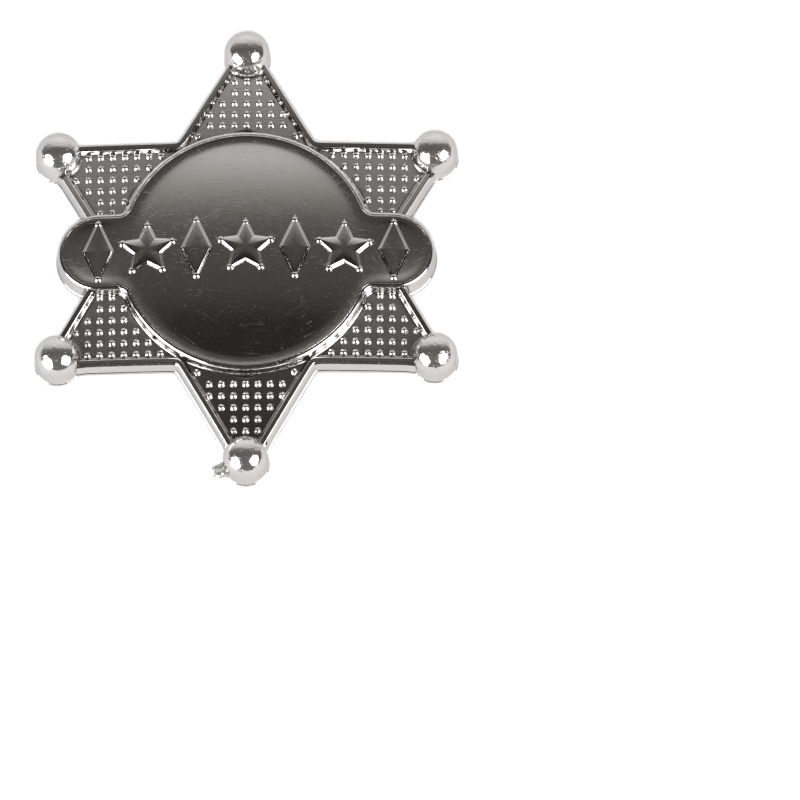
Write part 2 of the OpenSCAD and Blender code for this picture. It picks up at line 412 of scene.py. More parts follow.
def join(parts):
    """Several (points, quads, triangles) as one."""
    start = np.cumsum([0] + [len(part[0]) for part in parts[:-1]])
    points = np.concatenate([part[0] for part in parts])
    quads = np.concatenate([part[1] + s for part, s in zip(parts, start)])
    triangles = np.concatenate([part[2] + s for part, s in zip(parts, start)])
    return points, quads, triangles


def copies(part, places):
    """One part repeated at many places, as arrays."""
    points, quads, triangles = part
    shifts = (np.arange(len(places)) * len(points))[:, None, None]
    return (
        (places[:, None, :] + points[None]).reshape(-1, 3),
        (quads[None] + shifts).reshape(-1, 4),
        (triangles[None] + shifts).reshape(-1, 3),
    )


def face_outwards(part):
    """The part with its faces turned outwards, by the sign of the volume that its faces enclose."""
    points, quads, triangles = part
    fans = np.concatenate([triangles, quads[:, :3], quads[:, [0, 2, 3]]])
    a, b, c = (points[fans[:, k]] for k in range(3))
    volume = np.einsum("ij,ij->i", a, np.cross(b, c)).sum()
    return part if volume > 0 else (points, quads[:, ::-1], triangles[:, ::-1])


def make_piece(context, name, part, material):
    """A smooth-shaded mesh object of the part, riding on the root body."""
    points, quads, triangles = face_outwards(part)
    mesh = bpy.data.meshes.new(name)
    mesh.vertices.add(len(points))
    mesh.vertices.foreach_set("co", points.astype(np.float32).ravel())
    mesh.loops.add(quads.size + triangles.size)
    corners = np.concatenate([quads.ravel(), triangles.ravel()])
    mesh.loops.foreach_set("vertex_index", corners.astype(np.int32))
    mesh.polygons.add(len(quads) + len(triangles))
    starts = np.concatenate([np.arange(len(quads)) * 4, quads.size + np.arange(len(triangles)) * 3])
    mesh.polygons.foreach_set("loop_start", starts.astype(np.int32))
    mesh.polygons.foreach_set("use_smooth", np.ones(len(starts), bool))
    mesh.update(calc_edges=True)
    if mesh.validate():
        raise RuntimeError(f"{name}: the mesh had faces that are not sound")
    mesh.materials.append(material)
    piece = bpy.data.objects.new(name, mesh)
    context.scene.collection.objects.link(piece)
    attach(piece, "root")
    return piece


def add_attribute(piece, name, values):
    """A float for each vertex, which the piece's material reads."""
    attribute = piece.data.attributes.new(name, "FLOAT", "POINT")
    attribute.data.foreach_set("value", np.asarray(values, np.float32))


# Materials


def add_node(tree, kind, inputs=None, **settings):
    """A node with its settings and the values or links of its inputs."""
    node = tree.nodes.new(kind)
    for key, value in settings.items():
        setattr(node, key, value)
    for key, value in (inputs or {}).items():
        if isinstance(value, bpy.types.NodeSocket):
            tree.links.new(value, node.inputs[key])
        else:
            node.inputs[key].default_value = value
    return node


def new_material(name):
    """An empty metal material: its node tree, its shader and the object coordinates."""
    material = bpy.data.materials.new(name)
    material.use_nodes = True
    tree = material.node_tree
    shader = tree.nodes["Principled BSDF"]
    shader.inputs["Metallic"].default_value = 1.0
    place = add_node(tree, "ShaderNodeTexCoord").outputs["Object"]
    return material, tree, shader, place


def noise(tree, place, size, detail=2.0, stretch=(1.0, 1.0, 1.0)):
    """Noise whose features are about size metres across, longer along each axis by its stretch."""
    scale = [1.0 / (size * s) for s in stretch]
    moved = add_node(tree, "ShaderNodeMapping", {"Vector": place, "Scale": scale})
    texture = add_node(tree, "ShaderNodeTexNoise",
                       {"Vector": moved.outputs["Vector"], "Scale": 1.0, "Detail": detail})
    return texture.outputs["Fac"]


def remap(tree, value, low, high, to_low, to_high):
    """A clamped linear map of a value."""
    node = add_node(tree, "ShaderNodeMapRange", {
        "Value": value, "From Min": low, "From Max": high, "To Min": to_low, "To Max": to_high})
    return node.outputs["Result"]


def varied(tree, place, size, detail, least, most, low=0.3, high=0.7):
    """Noise whose range from low to high is spread between two values."""
    return remap(tree, noise(tree, place, size, detail), low, high, least, most)


def peaks(tree, place, size, low, high, most=1.0, detail=1.0, along=1.0):
    """Only the peaks of a noise: 0 where it is below low and most where it is above high.

    Its features are longer in X by the factor along.
    """
    return remap(tree, noise(tree, place, size, detail, (along, 1.0, 1.0)), low, high, 0.0, most)


def scratches(tree, place, degrees):
    """Straight hairlines in patches: peaks of a noise drawn out along one direction of the face."""
    turned = add_node(tree, "ShaderNodeMapping",
                      {"Vector": place, "Rotation": (0.0, 0.0, math.radians(degrees))}).outputs["Vector"]
    lines = peaks(tree, turned, size=0.13 * MM, low=0.68, high=0.76, along=45.0)
    patches = peaks(tree, turned, size=5.0 * MM, low=0.5, high=0.6)
    return add_node(tree, "ShaderNodeMath", {0: lines, 1: patches}, operation="MULTIPLY").outputs["Value"]


def bump(tree, height, distance, strength=1.0, below=None):
    """A bump of the given height in metres, laid over another one."""
    inputs = {"Height": height, "Distance": distance, "Strength": strength}
    if below is not None:
        inputs["Normal"] = below
    return add_node(tree, "ShaderNodeBump", inputs).outputs["Normal"]


def add_satin(tree, place, normal, depth):
    """Fine streaks all over, broad smears in patches and scratches in three directions, laid on a bump."""
    smear, scratch = 2.4 * depth, 4.0 * depth
    fine = noise(tree, place, size=0.12 * MM, detail=3.0, stretch=(22.0, 1.0, 1.0))
    normal = bump(tree, fine, depth, below=normal)
    smears = peaks(tree, place, size=0.4 * MM, low=0.55, high=0.8, detail=2.0, along=7.0)
    patches = peaks(tree, place, size=4.0 * MM, low=0.45, high=0.6, most=0.8, along=2.0)
    normal = bump(tree, smears, smear, patches, below=normal)
    for degrees in (38.0, -28.0, 4.0):
        normal = bump(tree, scratches(tree, place, degrees), scratch, below=normal)
    return normal


def plating_material(finish, name, grain=0.0, streak=0.0, roughness=None, wave=3.0 * MICRON, haze=0.0,
                     dents=0.0, worn_fields=False):
    """Vapour-plated plastic: a mirror with the moulding's waviness and fine specks.

    Grain is a depth of pits all over, streak that of satin streaks and scratches, and dents that of
    shallow dents in patches. Haze is the share that isn't mirror. With worn_fields, the piece's grain
    and worn attributes say where it is pitted and rougher.
    """
    material, tree, shader, place = new_material(name)
    shader.inputs["Base Color"].default_value = (*finish.plating, 1.0)
    shader.inputs["Specular Tint"].default_value = (*finish.edge, 1.0)
    shader.inputs["Metallic"].default_value = 1.0 - haze
    base = finish.gloss if roughness is None else roughness
    rough = varied(tree, place, size=1.6 * MM, detail=3.0, least=0.7 * base, most=1.4 * base)
    normal = bump(tree, noise(tree, place, size=2.2 * MM), wave)
    specks = peaks(tree, place, size=0.16 * MM, low=0.66, high=0.78)
    normal = bump(tree, specks, distance=8.0 * MICRON, below=normal)
    if streak:
        normal = add_satin(tree, place, normal, streak)
    if grain:
        pits = noise(tree, place, size=0.22 * MM, detail=3.0)
        normal = bump(tree, pits, grain, below=normal)
    if worn_fields:
        pitted, worn = (
            add_node(tree, "ShaderNodeAttribute", attribute_name=key).outputs["Fac"]
            for key in ("grain", "worn")
        )
        normal = bump(tree, noise(tree, place, size=0.24 * MM), finish.grain, pitted, below=normal)
        rough = add_node(tree, "ShaderNodeMath", {0: worn, 1: finish.worn, 2: rough},
                         operation="MULTIPLY_ADD").outputs["Value"]
    if dents:
        patches = peaks(tree, place, size=2.0 * MM, low=0.42, high=0.62, detail=2.0)
        hollows = noise(tree, place, size=0.55 * MM, detail=3.0)
        normal = bump(tree, hollows, dents, patches, below=normal)
    tree.links.new(normal, shader.inputs["Normal"])
    tree.links.new(rough, shader.inputs["Roughness"])
    return material


def steel_material(finish):
    """Drawn and stamped steel with fine lines along the bar."""
    material, tree, shader, place = new_material("pin_steel")
    shader.inputs["Base Color"].default_value = (*finish.steel, 1.0)
    lines = noise(tree, place, size=0.08 * MM, detail=3.0, stretch=(30.0, 1.0, 1.0))
    tree.links.new(bump(tree, lines, distance=6.0 * MICRON), shader.inputs["Normal"])
    rough = varied(tree, place, size=0.9 * MM, detail=4.0, least=0.22, most=0.42)
    tree.links.new(rough, shader.inputs["Roughness"])
    return material


# Pieces


class BadgeOperator(bpy.types.Operator):
    """Shared settings of the badge's operators"""

    bl_options = {"REGISTER", "UNDO"}


class BADGE_OT_star(BadgeOperator):
    """The star's fields, borders, outer walls and the hollow behind them, as one closed ring of polar rings.

    Each ring is the star's polar outline at inset d and height h of one profile: field, slope, border,
    bevel, leaning wall with its parting line, back, inner wall and ceiling. Rings never come inside the
    plate's wall, nor past a small circle in each tip ball, so their ends stay hidden there.
    """

    bl_idname = "badge.make_star"
    bl_label = "Star"

    def profile(self, star):
        """Insets and heights from the field over the border, down the wall and up to the ceiling."""
        lean = math.tan(star.draft)
        bevel_h = star.rim - star.bevel_drop
        ceiling_h = star.field - star.skin
        field_end, ceiling_end = 0.5 * MM, 0.6 * MM
        slope_foot, bevel_foot, ceiling_round = 0.12 * MM, 0.15 * MM, 0.2 * MM
        return rounded([
            (star.field_inset + field_end, star.field, 0.0),
            (star.field_inset, star.field, slope_foot),
            (star.rim_inner, star.rim - star.rim_fall, star.rim_round),
            (lean * star.rim + star.bevel, star.rim, star.edge_round),
            (lean * bevel_h, bevel_h, bevel_foot),
            *parting_corners(star, lambda h: lean * h),
            (0.0, 0.0, SOFT_EDGE),
            (star.wall, 0.0, SOFT_EDGE),
            (star.wall, ceiling_h, ceiling_round),
            (star.wall + ceiling_end, ceiling_h, 0.0),
        ])

    def plate_radius(self, star, plate, theta):
        """Polar radius of the plate's outline, drawn in to the middle of its wall."""
        points, normals = plate_outline(plate)
        inner = points - normals * 0.5 * star.wall
        angle = np.arctan2(inner[:, 1], inner[:, 0]) % (2.0 * np.pi)
        order = np.argsort(angle)
        return np.interp(theta, angle[order], np.hypot(*inner.T)[order], period=2.0 * np.pi)

    def execute(self, context):
        scene = context.scene
        star, plate = scene.badge_star, scene.badge_plate
        theta = sector_angles(steps=72)
        profile = self.profile(star)
        d, h = profile[:, 0:1], profile[:, 1:2]

        # The walls flare towards the balls, over a depth and within an angle that then fades
        neck_depth = 0.7 * MM
        neck_half, neck_fade = math.radians(5.0), math.radians(1.3)
        notch_softness = 0.0124
        off_tip = np.abs((theta - TIPS[0] + 0.5 * SECTOR) % SECTOR - 0.5 * SECTOR)
        flare = star.neck * np.clip(1.0 - d / neck_depth, 0.0, 1.0)
        near_ball = np.exp(-np.clip((off_tip - neck_half) / neck_fade, 0.0, None) ** 2)
        softness = notch_softness * (star.notch + d) / star.notch
        outline = star_radius(theta[None, :], star.edge - d + flare * near_ball, softness)

        # Rings between the plate and the first and last ring of the profile
        fill_rings = 7
        inside = self.plate_radius(star, plate, theta)
        fill = np.linspace(0.0, 1.0, fill_rings + 1)[:-1, None]
        first, last = outline[0], outline[-1]
        radius = np.concatenate([
            inside + fill * (first - inside), outline, last + (inside - last) * fill[1:],
            inside[None, :],
        ])
        height = np.concatenate([
            np.full(len(fill), star.field), h[:, 0], np.full(len(fill), star.field - star.skin)])[:, None]

        # Rings that reach the plate or a ball stop there, a hair apart from each other
        hair, hidden_h, core = 0.004 * MM, 0.45 * MM, 3.0 * MM
        rank = np.arange(len(radius))[:, None]
        apart = hair * np.minimum(rank, len(radius) - 1 - rank)
        held = inside[None, :] + apart
        height = np.where(radius < held, np.maximum(height, hidden_h), height)
        radius = np.maximum(radius, held)
        across = star.ball_ring * np.sin(off_tip)
        stop = star.ball_ring * np.cos(off_tip) - np.sqrt(np.clip(core**2 - across**2, 0.0, None))
        stop = np.where(across < core, stop, np.inf)
        radius = np.minimum(radius, stop[None, :] + apart)
        x, y = radius * np.cos(theta), radius * np.sin(theta)
        rings = np.stack([x, y, crown_height(star, x, y, height)], -1)
        material = plating_material(scene.badge_finish, "star_plating", worn_fields=True)
        piece = make_piece(context, "star_body", ring_grid(rings, loop=True), material)

        # Grain on the fields, and wear on those of the side arms
        worn_from, worn_full = 9.0 * MM, 15.0 * MM
        on_field = np.repeat(rank[:, 0] <= len(fill), len(theta))
        add_attribute(piece, "grain", on_field)
        add_attribute(piece, "worn", on_field * smooth_step(worn_from, worn_full, np.abs(x).ravel()))
        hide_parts(SHELL)
        return {"FINISHED"}


class BADGE_OT_plate(BadgeOperator):
    """Disc and banner with their lip, wall, dished floor, dome and hollow back.

    The rim's rings are true insets of the outline: point less d times its normal. Inside them, rings are
    scaled copies towards the centre, and the face's height comes from the dome and the floor.
    """

    bl_idname = "badge.make_plate"
    bl_label = "Disc and banner"

    def profiles(self, star, plate):
        """Two profiles from the lip down to the ceiling: the wall on the fields, and the one outside them."""
        lean = math.tan(star.draft)

        def wall_at(h):
            """Inset of the leaning wall at height h."""
            return -lean * (plate.lip - h)

        crease = plate.lip - LIP_STEP
        floor_end, floor_fall, lip_edge = 0.4 * MM, 0.1 * MM, 0.05 * MM
        top = [
            (plate.lip_width + floor_end, crease - floor_fall, 0.0),
            (plate.lip_width, crease, CREASE),
            (plate.lip_width - lip_edge, plate.lip, CREASE),
            (0.0, plate.lip, plate.lip_round),
        ]
        sunk, buried, fine, inner_round = 0.02 * MM, 0.3 * MM, 0.01 * MM, 0.1 * MM
        foot = wall_at(star.field) - 1.4 * plate.foot_flare
        ceiling_h = star.field - star.skin + sunk
        roof = (star.wall, plate.floor - star.skin, 0.0)
        on_field = rounded(top + [
            (wall_at(star.field), star.field, plate.foot_flare),
            (foot, star.field - sunk, fine),
            (foot, star.field - buried, fine),
            (0.0, ceiling_h, CREASE),
            (star.wall, ceiling_h, inner_round),
            roof,
        ])
        to_back = rounded(top + [
            *parting_corners(star, wall_at),
            (wall_at(0.0), 0.0, SOFT_EDGE),
            (star.wall, 0.0, SOFT_EDGE),
            roof,
        ])
        return on_field, to_back

    def execute(self, context):
        scene = context.scene
        star, plate = scene.badge_star, scene.badge_plate
        points, normals = plate_outline(plate)

        # The wall stands on the fields inside the star, and goes down to the back outside it.
        # The profiles' first points lie on the face, which has rings of its own.
        blend_from, blend_full = 0.2 * MM, 1.1 * MM
        on_face = 6
        depth = inside_star(star, *points.T)
        inside = smooth_step(blend_from, blend_full, depth)[None, :, None]
        on_field, to_back = (profile[on_face:, None, :] for profile in self.profiles(star, plate))
        profile = inside * on_field + (1.0 - inside) * to_back
        rim = points[None] - normals[None] * profile[..., 0:1]
        rim_z = crown_height(star, rim[..., 0], rim[..., 1], profile[..., 1])
        wall_rings = np.concatenate([rim, rim_z[..., None]], -1)

        # Face: insets through the dish, then scaled copies
        past_dish, closing = 0.5 * MM, 1.05
        dish_rings, middle_rings = 16, 40
        d = np.linspace(plate.lip_width + plate.dish + past_dish, plate.lip_width, dish_rings)[:, None]
        dish = points[None] - normals[None] * d[..., None]
        scale = (1.0 - np.linspace(0.0, 1.0, middle_rings, endpoint=False)[1:] ** closing)[::-1]
        middle = dish[0][None] * scale[:, None, None]
        flat = np.concatenate([middle, dish])
        inset = np.concatenate([np.full((len(middle), 1), FAR_IN), d])
        face_z = face_height(star, plate, flat[..., 0], flat[..., 1], inset)
        face = np.concatenate([flat, face_z[..., None]], -1)

        # Ceiling of the hollow back
        ceiling_join = 0.15 * MM
        ceiling_rings = 18
        edge = wall_rings[-1, :, :2]
        under = edge[None] * (1.0 - np.linspace(0.0, 1.0, ceiling_rings, endpoint=False)[1:, None, None])
        x, y = under[..., 0], under[..., 1]
        ceiling = smooth_max(dome_height(star, plate, x, y) - star.skin,
                             crown_height(star, x, y, plate.floor - star.skin), ceiling_join)
        back = np.concatenate([under, ceiling[..., None]], -1)
        rings = np.concatenate([face, wall_rings, back])
        material = plating_material(scene.badge_finish, "plate_plating", streak=1.5 * MICRON,
                                    roughness=scene.badge_finish.satin)
        make_piece(context, "disc_and_banner", ring_grid(rings), material)
        return {"FINISHED"}


class BADGE_OT_balls(BadgeOperator):
    """Six tip balls, each a profile turned round its own axis: dome, leaning foot, pit and roof.

    A collar spreads the profile where the ball stands on its field, by a factor that falls to the sides.
    """

    bl_idname = "badge.make_balls"
    bl_label = "Tip balls"

    def execute(self, context):
        scene = context.scene
        star, ball = scene.badge_star, scene.badge_balls
        near_top, dome_end = 0.02, math.radians(82.0)
        dome_rings, stretch_rings = 34, 14
        a = np.linspace(near_top, dome_end, dome_rings)
        dome = np.stack([ball.radius * np.sin(a), ball.height + ball.radius * np.cos(a)], 1)
        slope = (ball.foot - dome[-1, 0]) / dome[-1, 1]
        roof_h = ball.height + ball.radius - star.wall - star.skin
        roof_end, pit_round, roof_round = 0.05 * MM, 0.1 * MM, 0.3 * MM
        foot = rounded([
            (*dome[-1], 0.0),
            *parting_corners(star, lambda z: ball.foot - slope * z, way=-1.0),
            (ball.foot, 0.0, SOFT_EDGE),
            (ball.foot - star.wall, 0.0, pit_round),
            ((ball.radius - star.wall) / 2, roof_h, roof_round),
            (roof_end, roof_h, 0.0),
        ])
        stretch = dome[-1] + np.linspace(0.0, 1.0, stretch_rings)[1:-1, None] * (foot[1] - dome[-1])
        profile = np.concatenate([dome, stretch, foot[1:]])
        r, z = profile[:, 0:1], profile[:, 1:2]

        # Collar: widest at the field and towards the badge's centre, gone below the field and at the sides
        collar_rise = 1.2 * ball.collar
        gone_h, full_h = 0.9 * MM, 1.3 * MM
        full_side, gone_side = math.cos(math.radians(34.0)), math.cos(math.radians(56.0))
        phi = full_turn(steps=96)
        outer = np.arange(len(profile)) < len(dome) + len(stretch)
        field_z = float(crown_height(star, star.ball_ring - ball.radius, 0.0, star.field))
        spread = np.clip(1.0 - (z - field_z) / collar_rise, 0.0, 1.0) ** 2
        spread *= smooth_step(gone_h, full_h, z) * outer[:, None]
        r = r + ball.collar * spread * smooth_step(gone_side, full_side, -np.cos(phi))
        parts = []
        for tip in TIPS:
            x = star.ball_ring * math.cos(tip) + r * np.cos(phi + tip)
            y = star.ball_ring * math.sin(tip) + r * np.sin(phi + tip)
            parts.append(ring_grid(np.stack([x, y, np.broadcast_to(z, x.shape)], -1)))
        material = plating_material(scene.badge_finish, "ball_plating", wave=110.0 * MICRON, haze=0.12,
                                    dents=80.0 * MICRON, roughness=0.1)
        make_piece(context, "tip_balls", join(parts), material)
        return {"FINISHED"}


class BADGE_OT_beads(BadgeOperator):
    """The beads of the fields: one small dome repeated at every grid place that keeps its clearances"""

    bl_idname = "badge.make_beads"
    bl_label = "Beads"

    def places(self, scene):
        """Grid places inside the fields, clear of the border, disc, banner and balls."""
        star, plate, bead = scene.badge_star, scene.badge_plate, scene.badge_beads
        half_columns = 20
        to_slope, to_disc, to_banner, to_ball = 0.2 * MM, 0.9 * MM, 0.5 * MM, 0.3 * MM
        rows = np.arange(bead.rows) * bead.pitch
        rows = np.concatenate([bead.side_row + rows, bead.end_row + rows])
        rows = np.concatenate([rows, -rows])
        columns = np.arange(-half_columns, half_columns + 1) * bead.pitch
        x, y = (v.ravel() for v in np.meshgrid(columns, rows))
        end_x = plate.half_length - plate.half_height
        off_banner = np.hypot(np.maximum(np.abs(x) - end_x, 0.0), y) - plate.half_height
        balls = star.ball_ring * np.stack([np.cos(TIPS), np.sin(TIPS)])
        off_ball = np.hypot(x[:, None] - balls[0], y[:, None] - balls[1]).min(1) - scene.badge_balls.radius
        keep = (inside_star(star, x, y) > star.field_inset + to_slope) & (off_ball > to_ball)
        keep &= (np.hypot(x, y) > plate.disc + to_disc) & (off_banner > to_banner)
        return x[keep], y[keep]

    def execute(self, context):
        scene = context.scene
        star, bead = scene.badge_star, scene.badge_beads
        dome = small_dome(bead.radius, [4.0, 24.0, 44.0, 62.0, 78.0, 90.0], flare=1.1, foot=-0.12 * MM,
                          around=16)
        x, y = self.places(scene)
        height = crown_height(star, x, y, star.field - bead.sink)
        material = plating_material(scene.badge_finish, "bead_plating", roughness=0.23, wave=40.0 * MICRON)
        make_piece(context, "beads", copies(dome, np.stack([x, y, height], 1)), material)
        return {"FINISHED"}


class BADGE_OT_ornament(BadgeOperator):
    """The raised row of five-pointed stars and lozenges, with a small knob on each point.

    All sides of a figure lie equally far from its centre, so an inset outline is a scaled one. The rings
    follow a profile of foot, steep side, rounded edge and top over the face that carries them.
    """

    bl_idname = "badge.make_ornament"
    bl_label = "Ornament"

    def star_figure(self, ornament, theta):
        """A five-pointed star with a point at +Y: its polar radius, its points and its sides' distance.

        The radius is that of the line from a point to the next inner corner.
        """
        step = math.radians(36.0)
        tip, inner = ornament.star_tip, ornament.star_inner
        fold = np.abs((theta - QUARTER + step) % (2.0 * step) - step)
        outline = tip * inner * math.sin(step) / (tip * np.sin(fold) + inner * np.sin(step - fold))
        side = math.hypot(tip - inner * math.cos(step), inner * math.sin(step))
        apothem = tip * inner * math.sin(step) / side
        return outline, QUARTER + 2.0 * step * np.arange(5), np.full(5, tip), apothem

    def lozenge_figure(self, ornament, theta):
        """A lozenge: its polar radius, its points and its sides' distance.

        The radius is 1 / (|cos|/half width + |sin|/half height).
        """
        wide, tall = ornament.lozenge_width, ornament.lozenge_height
        outline = 1.0 / (np.abs(np.cos(theta)) / wide + np.abs(np.sin(theta)) / tall)
        apothem = tall * wide / math.hypot(tall, wide)
        return outline, QUARTER * np.arange(4), np.array([wide, tall] * 2), apothem

    def figure(self, scene, k):
        """One figure of the row and the places of its knobs."""
        star, plate, ornament = scene.badge_star, scene.badge_plate, scene.badge_ornament
        theta = full_turn(steps=200) + QUARTER
        shape = self.star_figure if k % 2 == 0 else self.lozenge_figure
        outline, points, tips, apothem = shape(ornament, theta)
        sunk, skirt, skirt_out, foot_out = -0.12 * MM, 0.06 * MM, -0.16 * MM, -0.14 * MM
        steep, top_end, skirt_round = 0.12 * MM, 0.7 * MM, 0.05 * MM
        inner_rings = 6
        profile = rounded([
            (skirt_out, sunk, 0.0),
            (foot_out, 0.0, CREASE),
            (0.0, skirt, skirt_round),
            (steep, ornament.relief, ornament.bevel),
            (top_end, ornament.relief, 0.0),
        ], steps=4)
        scale = 1.0 - profile[:, 0] / apothem
        inner = scale[-1] * np.linspace(1.0, 0.0, inner_rings + 1, endpoint=False)[1:]
        scale = np.concatenate([scale, inner])
        height = np.concatenate([profile[:, 1], np.full(inner_rings, ornament.relief)])
        height += ornament.pillow * np.clip(1.0 - scale**2, 0.0, 1.0)
        centre = k * ornament.pitch
        x = centre + scale[:, None] * outline * np.cos(theta)
        y = scale[:, None] * outline * np.sin(theta)
        z = face_height(star, plate, x, y, FAR_IN) + height[:, None]
        knob_r = tips - ornament.knob
        knobs = np.stack([centre + knob_r * np.cos(points), knob_r * np.sin(points)], 1)
        return ring_grid(np.stack([x, y, z], -1)), knobs

    def execute(self, context):
        scene = context.scene
        star, plate, ornament = scene.badge_star, scene.badge_plate, scene.badge_ornament
        figures, knobs = zip(*[self.figure(scene, k) for k in range(-SIDE_FIGURES, SIDE_FIGURES + 1)])
        knobs = np.concatenate(knobs)
        dome = small_dome(ornament.knob, np.linspace(3.0, 90.0, 9), flare=1.05, foot=-0.2 * MM, around=28)
        seat = face_height(star, plate, knobs[:, 0], knobs[:, 1], FAR_IN)
        lift = ornament.relief + KNOB_RISE - ornament.knob
        knob_part = copies(dome, np.column_stack([knobs, seat + lift]))
        parts = [face_outwards(part) for part in (*figures, knob_part)]
        material = plating_material(scene.badge_finish, "ornament_plating", streak=1.5 * MICRON)
        make_piece(context, "star_and_lozenge_row", join(parts), material)
        return {"FINISHED"}


class BADGE_OT_stub(BadgeOperator):
    """The rough stub of the broken-off gate: a blocky rounded body with seeded lumps.

    Its surface is a sphere whose sines and cosines are flattened by a power, then moved in and out
    by a sum of seeded waves.
    """

    bl_idname = "badge.make_stub"
    bl_label = "Gate stub"

    def execute(self, context):
        scene = context.scene
        star, ball = scene.badge_star, scene.badge_balls
        blockiness, waves, wave_rate, wave_share, lump_share = 0.6, 14, 6.0, 0.2, 0.22
        rooted, sunk = 1.0 * MM, 0.15 * MM
        random = np.random.default_rng(ball.seed)
        around, upwards = 56, 30
        u = full_turn(around)[None, :]
        v = np.linspace(-QUARTER, QUARTER, upwards)[1:-1, None]

        def squared(value):
            """A sine or cosine drawn towards a square wave."""
            return np.sign(value) * np.abs(value) ** blockiness

        body = np.stack(np.broadcast_arrays(
            squared(np.cos(v)) * squared(np.cos(u)), squared(np.cos(v)) * squared(np.sin(u)),
            squared(np.sin(v))), -1)
        lumps = np.zeros(body.shape[:2])
        for _ in range(waves):
            wave = random.normal(0.0, wave_rate, 3)
            lumps += wave_share * np.sin(body @ wave + random.uniform(0.0, 2.0 * np.pi))
        reach = ball.stub_length + rooted
        size = 0.5 * np.array([reach, ball.stub_width, ball.stub_height])
        body = body * size * (1.0 + lump_share * lumps[..., None])
        out = ball.foot - sunk + ball.stub_length - 0.5 * reach
        local = body + [out, 0.0, ball.stub_height]
        c, s = math.cos(ball.stub_turn), math.sin(ball.stub_turn)
        x = local[..., 0] * c - local[..., 1] * s
        y = local[..., 0] * s + local[..., 1] * c - star.ball_ring
        material = plating_material(scene.badge_finish, "stub_plating", grain=45.0 * MICRON, haze=0.3,
                                    roughness=0.15)
        make_piece(context, "gate_stub", ring_grid(np.stack([x, y, local[..., 2]], -1)), material)
        return {"FINISHED"}


class BADGE_OT_pad(BadgeOperator):
    """The pad in the hollow back: a rounded rectangle carried along a rounded edge up to the ceiling"""

    bl_idname = "badge.make_pad"
    bl_label = "Pin pad"

    def execute(self, context):
        scene = context.scene
        star, plate, back = scene.badge_star, scene.badge_plate, scene.badge_back
        face_end, edge_round, edge_h, into_ceiling = 1.2 * MM, 0.25 * MM, 0.6 * MM, 0.6
        half = np.array([back.pad_length, back.pad_width]) / 2 - back.pad_round
        corner_points = 9
        a = np.linspace(0.0, QUARTER, corner_points)
        arcs = [np.stack([np.cos(a + k * QUARTER), np.sin(a + k * QUARTER)], 1) for k in range(4)]
        signs = np.array([[1, 1], [-1, 1], [-1, -1], [1, -1]])
        normals = np.concatenate(arcs)
        points = np.concatenate([half * sign + back.pad_round * arc for sign, arc in zip(signs, arcs)])
        edge = rounded([(face_end, 0.0, 0.0), (0.0, 0.0, edge_round), (0.0, edge_h, 0.0)])
        flat = points[None] - normals[None] * edge[:, 0][:, None, None]
        x, y = flat[..., 0], flat[..., 1]
        z = np.broadcast_to(back.pad_face + edge[:, 1:2], x.shape)
        roof = dome_height(star, plate, x[-1], y[-1]) - into_ceiling * star.skin
        rings = np.concatenate([np.stack([x, y, z], -1), np.stack([x[-1], y[-1], roof], -1)[None]])
        material = plating_material(scene.badge_finish, "pad_plating")
        make_piece(context, "pin_pad", ring_grid(rings), material)
        return {"FINISHED"}


class BADGE_OT_pin(BadgeOperator):
    """Steel for the bar pin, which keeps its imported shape"""

    bl_idname = "badge.finish_pin"
    bl_label = "Bar pin"

    def execute(self, context):
        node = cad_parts[PIN]
        node.data.materials.clear()
        node.data.materials.append(steel_material(context.scene.badge_finish))
        return {"FINISHED"}


# Stage


def camera_axes(stage):
    """The camera's right, up and backward directions, from its tilt, side angle and roll."""
    back = Vector((math.sin(stage.side), -math.sin(stage.tilt), math.cos(stage.tilt))).normalized()
    right = Vector((0.0, 1.0, 0.0)).cross(back).normalized()
    up = back.cross(right)
    c, s = math.cos(stage.roll), math.sin(stage.roll)
    return right * c + up * s, up * c - right * s, back


def make_camera(context, stage):
    """A long lens whose picture has the badge at its place and scale in the photograph."""
    right, up, back = camera_axes(stage)
    data = bpy.data.cameras.new("camera")
    data.sensor_width = 36.0
    data.lens = stage.scale * stage.distance / MM * data.sensor_width / stage.picture
    camera = bpy.data.objects.new("camera", data)
    middle = stage.picture / 2
    aside = (middle - stage.centre_x) * MM / stage.scale
    above = (middle - stage.centre_y) * MM / stage.scale
    place = back * stage.distance + right * aside - up * above
    camera.matrix_world = Matrix([[axis[k] for axis in (right, up, back)] + [place[k]] for k in range(3)]
                                 + [[0.0, 0.0, 0.0, 1.0]])
    data.clip_start = 0.01
    data.clip_end = 100.0
    context.scene.collection.objects.link(camera)
    context.scene.camera = camera


def make_floor(context, stage):
    """A pale floor: a wide disc of rings with its centre under the badge."""
    radii = np.array([0.02, 0.1, 0.4, 1.5, 6.0])[:, None]
    phi = full_turn(steps=64)[None, :]
    x, y = radii * np.cos(phi), radii * np.sin(phi)
    points = np.stack([x, y, np.zeros_like(x)], -1)
    index = np.arange(x.size).reshape(x.shape)
    quads = np.stack([index[:-1], index[1:], np.roll(index[1:], -1, 1), np.roll(index[:-1], -1, 1)], -1)
    faces = quads.reshape(-1, 4).tolist() + [index[0].tolist()]
    mesh = bpy.data.meshes.new("floor")
    mesh.from_pydata(points.reshape(-1, 3).tolist(), [], faces)
    material = bpy.data.materials.new("pale_floor")
    material.use_nodes = True
    shader = material.node_tree.nodes["Principled BSDF"]
    shader.inputs["Base Color"].default_value = (*stage.floor, 1.0)
    shader.inputs["Roughness"].default_value = 0.9
    mesh.materials.append(material)
    floor = bpy.data.objects.new("floor", mesh)
    context.scene.collection.objects.link(floor)


